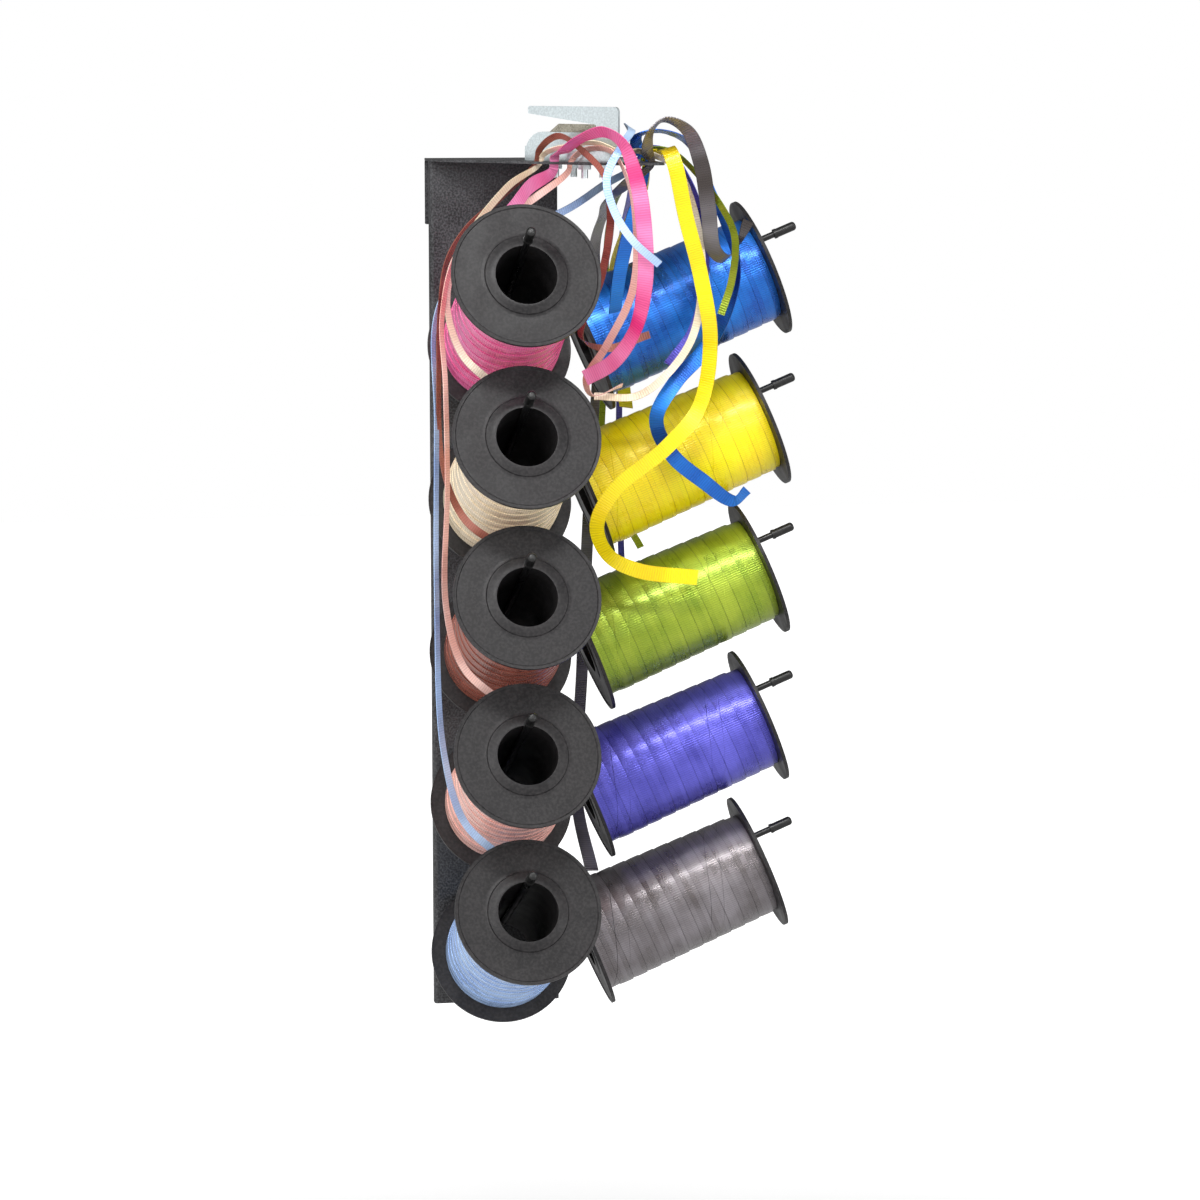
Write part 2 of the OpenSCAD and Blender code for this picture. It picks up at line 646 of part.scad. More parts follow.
on_side(5) spool(side_tilt);  // side_spool_5
on_front(1) winding(front_tilt, front_colours[0]);  // front_winding_1
on_front(2) winding(front_tilt, front_colours[1]);  // front_winding_2
on_front(3) winding(front_tilt, front_colours[2]);  // front_winding_3
on_front(4) winding(front_tilt, front_colours[3]);  // front_winding_4
on_front(5) winding(front_tilt, front_colours[4]);  // front_winding_5
on_side(1) winding(side_tilt, side_colours[0]);  // side_winding_1
on_side(2) winding(side_tilt, side_colours[1]);  // side_winding_2
on_side(3) winding(side_tilt, side_colours[2]);  // side_winding_3
on_side(4) winding(side_tilt, side_colours[3]);  // side_winding_4
on_side(5) winding(side_tilt, side_colours[4]);  // side_winding_5
ribbon(hot_pink_route, wide_w, front_colours[0]);  // hot_pink_ribbon
ribbon(ivory_route, narrow_w, front_colours[1]);  // ivory_ribbon
ribbon(terracotta_route, narrow_w, front_colours[2]);  // terracotta_ribbon
ribbon(peach_route, narrow_w, front_colours[3]);  // peach_ribbon
ribbon(light_blue_route, narrow_w, front_colours[4]);  // light_blue_ribbon
ribbon(royal_blue_route, wide_w, side_colours[0]);  // royal_blue_ribbon
ribbon(yellow_route, wide_w, side_colours[1]);  // yellow_ribbon
ribbon(lime_green_route, narrow_w, side_colours[2]);  // lime_green_ribbon
ribbon(violet_route, narrow_w, side_colours[3]);  // violet_ribbon
ribbon(grey_route, wide_w, side_colours[4]);  // grey_ribbon
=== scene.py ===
import json
import math

import bpy
from mathutils import Matrix, Vector


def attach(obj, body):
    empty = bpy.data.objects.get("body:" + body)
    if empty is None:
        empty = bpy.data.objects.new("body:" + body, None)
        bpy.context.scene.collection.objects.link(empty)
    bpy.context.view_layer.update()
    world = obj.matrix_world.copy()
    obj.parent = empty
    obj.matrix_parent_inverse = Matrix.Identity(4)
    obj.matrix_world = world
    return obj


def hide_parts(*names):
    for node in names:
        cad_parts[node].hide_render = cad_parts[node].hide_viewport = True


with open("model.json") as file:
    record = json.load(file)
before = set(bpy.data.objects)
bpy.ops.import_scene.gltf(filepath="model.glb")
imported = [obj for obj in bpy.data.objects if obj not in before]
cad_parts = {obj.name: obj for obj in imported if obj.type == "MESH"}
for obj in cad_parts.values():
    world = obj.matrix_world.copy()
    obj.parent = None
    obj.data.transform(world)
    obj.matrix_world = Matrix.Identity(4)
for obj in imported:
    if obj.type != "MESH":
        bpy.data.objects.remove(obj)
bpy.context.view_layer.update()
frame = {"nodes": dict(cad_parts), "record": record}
scene = bpy.context.scene
print("frame loaded")

# Camera at the photograph's viewing angle
camera = {
    "place": (-0.3435, -2.3930, 0.0705),
    "turn": (81.849, 0.02, -9.774),  # degrees
    "lens": 116.06,
    "sensor": 36,
}


def makeCamera():
    bpy.ops.object.camera_add(
        location=camera["place"], rotation=[math.radians(a) for a in camera["turn"]]
    )
    made = bpy.context.object
    made.data.lens = camera["lens"]
    made.data.sensor_width = camera["sensor"]
    scene.camera = made


makeCamera()
print("camera made")

# Loose ribbons: the section is in shares of width and thickness. Each route point is x, y, z
# in metres, the turn out of the front in degrees, and the share of the width
ribbonShape = {
    "thickness": 0.0006,
    "steps": 10,  # rings between two route points
    "sharpAngle": 40,
    "section": [(0.5, -0.5), (0.5, 0.5), (0.17, 0.5), (-0.17, 0.5), (-0.5, 0.5), (-0.5, -0.5)],
}
wideRibbon = 0.0095
narrowRibbon = 0.0048
ribbons = {
    "hot_pink": {
        "width": wideRibbon, "length": 0.309,
        "route": [
            (-0.012, -0.107, -0.036, -160, 1), (-0.002, -0.107, -0.025, -150, 1),
            (0.009, -0.098, -0.013, -150, 1), (0.0266, -0.077, -0.004, 170, 0.6),
            (0.0274, -0.0774, 0.001, -175, 0.55), (0.0276, -0.0782, 0.005, -135, 0.7),
            (0.029, -0.095, 0.007, -130, 1), (0.038, -0.113, 0.016, -130, 1),
            (0.05, -0.122, 0.02, -130, 1), (0.06, -0.13, 0.013, -120, 1),
            (0.068, -0.132, -0.008, -150, 1), (0.073, -0.129, -0.036, -175, 1),
            (0.075, -0.122, -0.068, -160, 1), (0.071, -0.111, -0.098, -130, 1),
            (0.06, -0.098, -0.118, -155, 1), (0.045, -0.084, -0.129, -160, 1),
        ],
    },
    "ivory": {
        "width": narrowRibbon, "length": 0.491,
        "route": [
            (-0.012, -0.107, -0.132, 10, 1), (-0.034, -0.112, -0.111, 20, 1),
            (-0.042, -0.108, -0.084, 40, 1), (-0.036, -0.098, -0.056, 40, 1),
            (-0.022, -0.091, -0.035, 30, 1), (-0.001, -0.086, -0.012, 30, 1),
            (0.0202, -0.0688, 0, 20, 0.5), (0.0213, -0.0702, 0.0045, 20, 0.7),
            (0.025, -0.075, 0.008, 50, 1), (0.038, -0.09, 0.012, 60, 1),
            (0.05, -0.105, 0.013, 60, 1), (0.0605, -0.112, 0.008, 50, 1),
            (0.069, -0.106, 0.008, 50, 1), (0.076, -0.094, 0.008, 50, 1),
            (0.09, -0.086, 0.004, 50, 1), (0.104, -0.073, -0.004, 30, 1),
            (0.117, -0.066, -0.035, 10, 1), (0.121, -0.064, -0.075, 0, 1),
            (0.113, -0.062, -0.112, 10, 1), (0.084, -0.057, -0.142, 30, 1),
            (0.056, -0.052, -0.143, 30, 1),
        ],
    },
    "terracotta": {
        "width": narrowRibbon, "length": 0.513,
        "route": [
            (-0.01, -0.108, -0.228, 10, 1), (-0.033, -0.112, -0.21, 20, 1),
            (-0.046, -0.114, -0.178, 50, 1), (-0.048, -0.113, -0.112, 50, 1),
            (-0.046, -0.105, -0.084, 50, 1), (-0.04, -0.092, -0.057, 50, 1),
            (-0.027, -0.084, -0.038, 40, 1), (-0.007, -0.08, -0.021, 40, 1),
            (0.0175, -0.0665, 0, 40, 0.7), (0.02, -0.07, 0.009, 35, 1),
            (0.029, -0.084, 0.017, 45, 1), (0.041, -0.103, 0.008, 50, 1),
            (0.052, -0.112, -0.006, 55, 1), (0.057, -0.105, -0.03, 30, 1),
            (0.055, -0.084, -0.068, 25, 1), (0.046, -0.064, -0.106, 65, 1),
            (0.062, -0.06, -0.113, 150, 1), (0.09, -0.056, -0.105, -175, 1),
        ],
    },
    "peach": {
        "width": narrowRibbon, "length": 0.614,
        "route": [
            (-0.01, -0.108, -0.323, -170, 1), (-0.034, -0.113, -0.3, -160, 1),
            (-0.045, -0.116, -0.262, -140, 1), (-0.044, -0.118, -0.19, -130, 1),
            (-0.045, -0.119, -0.128, -130, 1), (-0.046, -0.114, -0.088, -130, 1),
            (-0.035, -0.104, -0.051, -130, 1), (-0.01, -0.097, -0.034, -140, 1),
            (0.014, -0.092, -0.019, -160, 1), (0.0348, -0.0853, -0.004, -155, 0.8),
            (0.036, -0.085, 0.001, -150, 0.7), (0.042, -0.091, 0.008, -130, 1),
            (0.057, -0.11, 0.008, -115, 1), (0.066, -0.119, -0.012, -105, 1),
            (0.071, -0.116, -0.044, -140, 1), (0.07, -0.106, -0.076, -155, 1),
            (0.057, -0.088, -0.11, -150, 1), (0.048, -0.07, -0.131, -140, 1),
            (0.054, -0.06, -0.142, -100, 1), (0.073, -0.056, -0.136, -120, 1),
        ],
    },
    "light_blue": {
        "width": narrowRibbon, "length": 0.725,
        "route": [
            (-0.01, -0.108, -0.419, -170, 1), (-0.034, -0.112, -0.395, -160, 1),
            (-0.047, -0.116, -0.35, -140, 1), (-0.051, -0.119, -0.258, -130, 1),
            (-0.05, -0.116, -0.15, -130, 1), (-0.048, -0.1, -0.09, -130, 1),
            (-0.031, -0.088, -0.06, -140, 1), (-0.005, -0.076, -0.044, -140, 1),
            (0.037, -0.064, -0.028, -160, 1), (0.063, -0.046, -0.014, -165, 1),
            (0.0844, -0.024, -0.004, 160, 0.8), (0.0852, -0.0234, 0, 175, 0.55),
            (0.0846, -0.0254, 0.006, -155, 0.9), (0.082, -0.044, 0.012, -135, 1),
            (0.072, -0.074, 0.022, -115, 1), (0.07, -0.103, 0.02, -150, 1),
            (0.061, -0.118, 0.011, -145, 1), (0.052, -0.121, -0.007, -160, 1),
            (0.056, -0.125, -0.027, -160, 1), (0.066, -0.132, -0.044, -160, 1),
            (0.082, -0.131, -0.058, -160, 1),
        ],
    },
    "royal_blue": {
        "width": wideRibbon, "length": 0.446,
        "route": [
            (0.07, -0.046, -0.092, -150, 1), (0.071, -0.06, -0.065, -160, 1),
            (0.077, -0.072, -0.031, -160, 1), (0.0845, -0.0789, 0, -140, 0.4),
            (0.0834, -0.0793, 0.005, -155, 0.55), (0.077, -0.0835, 0.01, -160, 1),
            (0.076, -0.091, 0.017, -125, 1), (0.0855, -0.0965, 0.02, -105, 1),
            (0.097, -0.097, 0.018, -105, 1), (0.111, -0.088, 0.009, -110, 1),
            (0.123, -0.078, -0.015, -110, 1), (0.134, -0.074, -0.038, -115, 1),
            (0.141, -0.071, -0.06, -110, 1), (0.138, -0.061, -0.088, -130, 1),
            (0.124, -0.054, -0.116, -160, 1), (0.107, -0.052, -0.135, -160, 1),
            (0.095, -0.052, -0.158, -145, 1), (0.105, -0.05, -0.18, -165, 1),
            (0.125, -0.049, -0.197, -165, 1), (0.145, -0.049, -0.21, -140, 1),
            (0.153, -0.05, -0.203, -140, 1),
        ],
    },
    "yellow": {
        "width": wideRibbon, "length": 0.602,
        "route": [
            (0.089, 0.02, -0.157, 20, 1), (0.088, 0.041, -0.122, 20, 1),
            (0.084, 0.036, -0.074, 30, 1), (0.086, 0, -0.042, 30, 1),
            (0.087, -0.042, -0.018, 20, 1), (0.0839, -0.0744, -0.004, 20, 0.6),
            (0.084, -0.0754, 0, 20, 0.42), (0.085, -0.0756, 0.004, 25, 0.6),
            (0.093, -0.077, 0.007, 60, 1), (0.095, -0.0885, 0.009, 165, 1),
            (0.098, -0.095, 0, -165, 1), (0.106, -0.088, -0.031, -180, 1),
            (0.118, -0.076, -0.069, -175, 1), (0.126, -0.066, -0.11, -150, 1),
            (0.12, -0.06, -0.151, -150, 1), (0.1, -0.058, -0.175, -175, 1),
            (0.068, -0.057, -0.201, -175, 1), (0.057, -0.056, -0.223, -150, 1),
            (0.064, -0.056, -0.241, -150, 1), (0.082, -0.056, -0.251, -175, 1),
            (0.121, -0.053, -0.257, -180, 1),
        ],
    },
    "lime_green": {
        "width": narrowRibbon, "length": 0.462,
        "route": [
            (0.1, 0.028, -0.248, -160, 1), (0.08, 0.047, -0.206, -150, 1),
            (0.081, 0.049, -0.12, -150, 1), (0.08, 0.042, -0.06, -150, 1),
            (0.079, 0.012, -0.03, -150, 1), (0.081, -0.03, -0.012, -150, 1),
            (0.084, -0.059, 0, -150, 0.8), (0.089, -0.067, 0.008, -140, 1),
            (0.1, -0.076, 0.007, -120, 1), (0.114, -0.081, -0.006, -120, 1),
            (0.128, -0.089, -0.026, -130, 1), (0.137, -0.085, -0.044, -140, 1),
            (0.137, -0.076, -0.072, -140, 1), (0.131, -0.074, -0.092, -150, 1),
        ],
    },
    "violet": {
        "width": narrowRibbon, "length": 0.561,
        "route": [
            (0.121, 0.03, -0.326, 20, 1), (0.096, 0.048, -0.286, 30, 1),
            (0.091, 0.054, -0.23, 30, 1), (0.091, 0.054, -0.12, 30, 1),
            (0.09, 0.044, -0.055, 30, 1), (0.088, 0.004, -0.024, 30, 1),
            (0.085, -0.041, 0, 30, 0.8), (0.09, -0.052, 0.009, 55, 1),
            (0.101, -0.062, 0.007, 85, 1), (0.114, -0.066, -0.014, 60, 1),
            (0.122, -0.062, -0.042, 25, 1), (0.124, -0.059, -0.07, 20, 1),
            (0.117, -0.053, -0.103, 20, 1), (0.102, -0.051, -0.124, 30, 1),
        ],
    },
    "grey": {
        "width": wideRibbon, "length": 0.756,
        "route": [
            (0.067, 0.022, -0.457, -160, 1), (0.062, 0.05, -0.416, -150, 1),
            (0.066, 0.054, -0.33, -150, 1), (0.071, 0.055, -0.22, -150, 1),
            (0.078, 0.057, -0.116, -150, 1), (0.073, 0.047, -0.062, -150, 1),
            (0.069, -0.014, -0.032, -155, 1), (0.0645, -0.07, -0.02, -150, 1),
            (0.074, -0.086, -0.009, -145, 1), (0.0836, -0.095, 0, -135, 0.55),
            (0.0832, -0.096, 0.004, -150, 0.6), (0.08, -0.101, 0.009, -150, 1),
            (0.081, -0.107, 0.02, -120, 1), (0.089, -0.108, 0.027, -110, 1),
            (0.103, -0.106, 0.021, -130, 1), (0.113, -0.1, 0.001, -160, 1),
            (0.12, -0.088, -0.027, -170, 1), (0.128, -0.066, -0.053, -155, 1),
            (0.137, -0.058, -0.059, -120, 1), (0.145, -0.054, -0.051, -110, 1),
            (0.152, -0.054, -0.036, -150, 1),
        ],
    },
}


def widthDirection(before, after, turn):
    # Across the ribbon; at no turn its face looks to the front
    along = (after - before).normalized()
    flat = Vector((0, -1, 0)).cross(along).normalized()
    face = along.cross(flat)
    return flat * math.cos(math.radians(turn)) + face * math.sin(math.radians(turn))


def smoothPoint(a, b, c, d, share):
    # One point between b and c on the centripetal curve through all four
    t1 = math.sqrt((b - a).length)
    t2 = t1 + math.sqrt((c - b).length)
    t3 = t2 + math.sqrt((d - c).length)
    t = t1 + (t2 - t1) * share
    ab = a.lerp(b, t / t1)
    bc = b.lerp(c, (t - t1) / (t2 - t1))
    cd = c.lerp(d, (t - t2) / (t3 - t2))
    return ab.lerp(bc, t / t2).lerp(bc.lerp(cd, (t - t1) / (t3 - t1)), (t - t1) / (t2 - t1))


def ribbonRings(route):
    # Centre, width direction and width share of each ring along a smooth curve
    spots = [Vector(point[:3]) for point in route]
    last = len(spots) - 1
    sides = [
        widthDirection(spots[max(k - 1, 0)], spots[min(k + 1, last)], route[k][3])
        for k in range(last + 1)
    ]
    ends = [2 * spots[0] - spots[1]] + spots + [2 * spots[-1] - spots[-2]]
    rings = []
    for k in range(last):
        for step in range(ribbonShape["steps"]):
            share = step / ribbonShape["steps"]
            centre = smoothPoint(*ends[k : k + 4], share)
            side = sides[k].lerp(sides[k + 1], share)
            wide = route[k][4] + (route[k + 1][4] - route[k][4]) * share
            rings.append([centre, side, wide])
    rings.append([spots[-1], sides[-1], route[-1][4]])
    return rings


def makeRibbon(name, facts):
    rings = ribbonRings(facts["route"])
    section, thickness = ribbonShape["section"], ribbonShape["thickness"]
    count = len(section)
    corners, walls, runs = [], [], [0]
    for k, (centre, side, wide) in enumerate(rings):
        before = rings[max(k - 1, 0)][0]
        after = rings[min(k + 1, len(rings) - 1)][0]
        along = (after - before).normalized()
        across = (side - along * side.dot(along)).normalized()
        up = along.cross(across)
        for x, y in section:
            corners.append(centre + across * x * wide * facts["width"] + up * y * thickness)
        if k:
            runs.append(runs[-1] + (centre - rings[k - 1][0]).length)
    for k in range(len(rings) - 1):
        for s in range(count):
            a, b = k * count + s, k * count + (s + 1) % count
            walls.append((a, a + count, b + count, b))
    walls.append(tuple(range(count)))
    walls.append(tuple(reversed(range(len(corners) - count, len(corners)))))
    mesh = bpy.data.meshes.new(name)
    mesh.from_pydata([tuple(c) for c in corners], [], walls)
    layer = mesh.uv_layers.new(name="ribbonMap")
    for face in mesh.polygons:
        for loop in face.loop_indices:
            corner = mesh.loops[loop].vertex_index
            layer.data[loop].uv = (section[corner % count][0], runs[corner // count])
    piece = bpy.data.objects.new(name, mesh)
    scene.collection.objects.link(piece)
    mesh.polygons.foreach_set("use_smooth", [True] * len(mesh.polygons))
    mesh.set_sharp_from_angle(angle=math.radians(ribbonShape["sharpAngle"]))
    return piece, [tuple(ring[0]) for ring in rings]


def addRibbons():
    made = {}
    for name, facts in ribbons.items():
        piece, path = makeRibbon(name + "_loose", facts)
        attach(piece, "rack")
        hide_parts(name + "_ribbon")
        made[name] = piece
    return made


looseRibbons = addRibbons()
print("loose ribbons made")

# Wound ribbons, modelled once in the spool's frame: z along the rod, from the inner flange.
# Sizes in metres; flange, bore, hub, inner and outer are radii
post = {"width": 0.08, "depth": 0.025, "firstRod": 0.105, "pitch": 0.0955}
rod = {"radius": 0.002, "hangGap": 0.0003, "standOff": 0.001}
spool = {
    "length": 0.124, "flange": 0.0445, "flangeThickness": 0.0022, "bore": 0.01835, "hub": 0.02095,
}
winding = {
    "inner": 0.0365, "outer": 0.0335, "gap": 0.0003, "turns": 11, "steps": 72,
    "bandWidth": 0.0095, "bandThickness": 0.0008, "lift": 0.0005, "swell": (0.3, 0.7),
    "sharpAngle": 35,
}
# Tilt in degrees, foot where the rods leave the post; the last number sets how strong the painted
# shade in the turns' seams is
columns = {
    "front": {
        "tilt": 24.5, "foot": (0, -post["depth"] / 2), "out": (0, -1, 0),
        "colours": ["hot_pink", "ivory", "terracotta", "peach", "light_blue"], "darkerWeight": 0.25,
    },
    "side": {
        "tilt": 22.5, "foot": (post["width"] / 2, 0), "out": (1, 0, 0),
        "colours": ["royal_blue", "yellow", "lime_green", "violet", "grey"], "darkerWeight": 0.6,
    },
}


def spoolFrame(column, number):
    # Turns the spool's own frame into its place on the rack
    facts = columns[column]
    tilt = math.radians(facts["tilt"])
    out = Vector(facts["out"])
    up = Vector((0, 0, 1))
    axis = out * math.cos(tilt) + up * math.sin(tilt)
    over = up * math.cos(tilt) - out * math.sin(tilt)
    drop = spool["bore"] - rod["radius"] - rod["hangGap"]
    root = Vector((*facts["foot"], -post["firstRod"] - post["pitch"] * number))
    reach = rod["standOff"] + (spool["flange"] - drop) * math.tan(tilt)
    origin = root + axis * reach - over * drop
    turned = Matrix((over.cross(axis), over, axis)).transposed().to_4x4()
    turned.translation = origin
    return turned


def windingRun():
    # Where the band starts along the rod, and its rise with each turn
    start = spool["flangeThickness"] + winding["gap"]
    return start, (spool["length"] - 2 * start - winding["bandWidth"]) / winding["turns"]


def sweptProfile(name, profile, turns, rise):
    # A flat outline in the xz plane, swept round z by the Screw modifier
    bpy.ops.mesh.primitive_circle_add(vertices=len(profile), radius=1, fill_type="NOTHING")
    piece = bpy.context.object
    piece.name = name
    for vertex, (radius, height) in zip(piece.data.vertices, profile):
        vertex.co = (radius, 0, height)
    screw = piece.modifiers.new("sweep", "SCREW")
    screw.iterations = turns
    screw.screw_offset = rise
    screw.steps = winding["steps"]
    screw.render_steps = winding["steps"]
    screw.use_merge_vertices = rise == 0
    bpy.ops.object.modifier_apply(modifier=screw.name)
    bpy.ops.object.mode_set(mode="EDIT")
    if rise:
        bpy.ops.mesh.select_all(action="DESELECT")
        bpy.ops.mesh.select_mode(type="EDGE")
        bpy.ops.mesh.select_non_manifold()
        bpy.ops.mesh.fill()
    bpy.ops.mesh.select_all(action="SELECT")
    bpy.ops.mesh.normals_make_consistent(inside=False)
    bpy.ops.object.mode_set(mode="OBJECT")
    return piece


def makeWinding():
    start, rise = windingRun()
    end = spool["length"] - start
    slope = (winding["outer"] - winding["inner"]) / spool["length"]
    inner, wide = winding["inner"], winding["bandWidth"]
    thin, lift = winding["bandThickness"], winding["lift"]
    low, high = winding["swell"]
    clear = spool["hub"] + winding["gap"] / 2
    core = sweptProfile(
        "windingCore",
        [(clear, start), (inner - thin, start), (inner - thin, end), (clear, end)],
        1, 0,
    )
    band = sweptProfile(
        "windingBand",
        [
            (inner - thin, start), (inner - lift, start), (inner - lift / 3, start + wide * low),
            (inner, start + wide * high), (inner, start + wide), (inner - thin, start + wide),
        ],
        winding["turns"], rise,
    )
    bpy.ops.object.select_all(action="DESELECT")
    core.select_set(True)
    band.select_set(True)
    bpy.context.view_layer.objects.active = core
    bpy.ops.object.join()
    mesh = core.data
    for vertex in mesh.vertices:  # the winding is thinner towards the outer flange
        radius = math.hypot(vertex.co.x, vertex.co.y)
        if radius > spool["hub"] + thin:
            share = (radius + slope * vertex.co.z) / radius
            vertex.co.x *= share
            vertex.co.y *= share
    spot = mesh.attributes.new("spoolSpot", "FLOAT_VECTOR", "POINT")
    spot.data.foreach_set("vector", [x for vertex in mesh.vertices for x in vertex.co])
    mesh.polygons.foreach_set("use_smooth", [True] * len(mesh.polygons))
    mesh.set_sharp_from_angle(angle=math.radians(winding["sharpAngle"]))
    core.name = "windingPattern"
    return core


def addWindings():
    pattern = makeWinding()
    made = {}
    for column, facts in columns.items():
        for number, colour in enumerate(facts["colours"]):
            piece = pattern.copy()
            piece.data = pattern.data.copy()
            piece.name = column + "_wound_" + colour
            scene.collection.objects.link(piece)
            piece.data.transform(spoolFrame(column, number))
            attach(piece, "%s_spool_%d_body" % (column, number + 1))
            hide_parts("%s_winding_%d" % (column, number + 1))
            made[colour] = piece
    bpy.data.objects.remove(pattern)
    return made


woundRibbons = addWindings()
print("wound ribbons made")


# Node helpers
def node(tree, kind, **settings):
    made = tree.nodes.new(kind)
    for name, value in settings.items():
        setattr(made, name, value)
    return made


def feed(tree, socket, value):
    if isinstance(value, bpy.types.NodeSocket):
        tree.links.new(value, socket)
    elif isinstance(value, tuple) and len(socket.default_value) == 4:
        socket.default_value = (*value, 1)
    else:
        socket.default_value = value


def maths(tree, operation, *values):
    made = node(tree, "ShaderNodeMath", operation=operation)
    for socket, value in zip(made.inputs, values):
        feed(tree, socket, value)
    return made.outputs[0]


def vectors(tree, operation, *values):
    made = node(tree, "ShaderNodeVectorMath", operation=operation)
    for socket, value in zip(made.inputs, values):
        feed(tree, socket, value)
    return made.outputs["Value" if operation in ("LENGTH", "DOT_PRODUCT") else "Vector"]


def mixed(tree, share, low, high):
    made = node(tree, "ShaderNodeMix", data_type="RGBA")
    for place, value in ((0, share), (6, low), (7, high)):
        feed(tree, made.inputs[place], value)
    return made.outputs[2]


def remap(tree, value, low, high, toLow=0, toHigh=1):
    made = node(tree, "ShaderNodeMapRange", interpolation_type="SMOOTHSTEP")
    for place, setting in enumerate((value, low, high, toLow, toHigh)):
        feed(tree, made.inputs[place], setting)
    return made.outputs[0]


def noise(tree, place, scale, detail=2):
    made = node(tree, "ShaderNodeTexNoise")
    feed(tree, made.inputs["Vector"], place)
    feed(tree, made.inputs["Scale"], scale)
    feed(tree, made.inputs["Detail"], detail)
    return made.outputs["Fac"]


def noiseAlong(tree, place, scale):
    made = node(tree, "ShaderNodeTexNoise", noise_dimensions="1D")
    feed(tree, made.inputs["W"], place)
    feed(tree, made.inputs["Scale"], scale)
    return made.outputs["Fac"]


def split(tree, vector):
    made = node(tree, "ShaderNodeSeparateXYZ")
    feed(tree, made.inputs[0], vector)
    return made.outputs


def newGroup(name, inputs, outputs):
    tree = bpy.data.node_groups.new(name, "ShaderNodeTree")
    for label, kind in inputs.items():
        tree.interface.new_socket(label, in_out="INPUT", socket_type="NodeSocket" + kind)
    for label in outputs:
        tree.interface.new_socket(label, in_out="OUTPUT", socket_type="NodeSocketFloat")
    return tree, node(tree, "NodeGroupInput").outputs, node(tree, "NodeGroupOutput").inputs


def useGroup(tree, group, **values):
    made = node(tree, "ShaderNodeGroup", node_tree=group)
    for name, value in values.items():
        feed(tree, made.inputs[name], value)
    return made.outputs


def linear(colour):
    # The colour as the shader takes it, from one written in sRGB
    return tuple(c / 12.92 if c <= 0.04045 else ((c + 0.055) / 1.055) ** 2.4 for c in colour)


def newMaterial(name):
    material = bpy.data.materials.new(name)
    material.use_nodes = True
    return material, material.node_tree, material.node_tree.nodes["Principled BSDF"].inputs


def bumped(tree, shader, height, strength, distance, under=None):
    made = node(tree, "ShaderNodeBump")
    feed(tree, made.inputs["Strength"], strength)
    feed(tree, made.inputs["Distance"], distance)
    feed(tree, made.inputs["Height"], height)
    if under:
        feed(tree, made.inputs["Normal"], under)
    feed(tree, shader["Normal"], made.outputs[0])
    return made.outputs[0]


# Painted, moulded and plated surfaces: colours in sRGB, speckle and patches per metre
surfaces = {
    "black_powder_coat": {
        "dark": (0.05, 0.05, 0.055), "light": (0.32, 0.32, 0.33), "speckle": 800, "patch": 30,
        "rough": (0.34, 0.5), "metal": 0, "bump": 0.5, "depth": 0.0004, "shine": 0.3,
    },
    "black_rod": {
        "dark": (0.03, 0.03, 0.03), "light": (0.08, 0.08, 0.085), "speckle": 700, "patch": 60,
        "rough": (0.25, 0.42), "metal": 0, "bump": 0.1, "depth": 0.0002, "shine": 0.4,
    },
    "black_vinyl": {
        "dark": (0.05, 0.05, 0.05), "light": (0.11, 0.11, 0.11), "speckle": 500, "patch": 90,
        "rough": (0.3, 0.45), "metal": 0, "bump": 0.1, "depth": 0.0002, "shine": 0.4,
    },
    "black_plastic": {
        "dark": (0.08, 0.075, 0.08), "light": (0.18, 0.172, 0.175), "speckle": 600, "patch": 55,
        "rough": (0.36, 0.55), "metal": 0, "bump": 0.2, "depth": 0.0002, "shine": 0.25,
    },
    "zinc_plate": {
        "dark": (0.74, 0.78, 0.79), "light": (0.86, 0.9, 0.91), "speckle": 900, "patch": 14,
        "rough": (0.26, 0.34), "metal": 0.75, "bump": 0.02, "depth": 0.0002, "shine": 0.5,
    },
    "blade_steel": {
        "dark": (0.55, 0.53, 0.48), "light": (0.74, 0.72, 0.66), "speckle": 900, "patch": 120,
        "rough": (0.22, 0.36), "metal": 1, "bump": 0.05, "depth": 0.0001, "shine": 0.5,
    },
}
# The noise where shade starts and is full, and its share of the shade
speckle = {"fine": (0.35, 0.7), "fineShare": 0.6, "broad": (0.25, 0.75), "broadShare": 0.4}


def makeSpeckle():
    tree, given, results = newGroup(
        "speckle",
        {"Place": "Vector", "Speckle": "Float", "Patch": "Float"},
        ["Shade", "Fine", "Broad"],
    )
    fine = noise(tree, given["Place"], given["Speckle"])
    broad = noise(tree, given["Place"], given["Patch"], detail=4)
    fineShade = remap(tree, fine, *speckle["fine"], 0, speckle["fineShare"])
    broadShade = remap(tree, broad, *speckle["broad"], 0, speckle["broadShare"])
    feed(tree, results["Shade"], maths(tree, "ADD", fineShade, broadShade))
    feed(tree, results["Fine"], fine)
    feed(tree, results["Broad"], broad)
    return tree


# Moulded flange: a boss swells round the bore, and the rim has a fine lip; radii in metres
flangeMould = {
    "bossIn": 0.0185, "bossOut": 0.027, "bossHigh": 0.0022, "lipIn": 0.0428, "lipHigh": 0.0001,
}


def makeFlangeMould():
    tree, given, results = newGroup(
        "flangeMould", {"Place": "Vector", "Origin": "Vector", "Axis": "Vector"}, ["Height"]
    )
    offset = vectors(tree, "SUBTRACT", given["Place"], given["Origin"])
    radius = vectors(tree, "LENGTH", vectors(tree, "CROSS_PRODUCT", offset, given["Axis"]))
    boss = remap(
        tree, radius, flangeMould["bossIn"], flangeMould["bossOut"], flangeMould["bossHigh"], 0
    )
    lip = remap(tree, radius, flangeMould["lipIn"], spool["flange"], 0, flangeMould["lipHigh"])
    feed(tree, results["Height"], maths(tree, "ADD", boss, lip))
    return tree


groups = {"speckle": makeSpeckle(), "flangeMould": makeFlangeMould()}


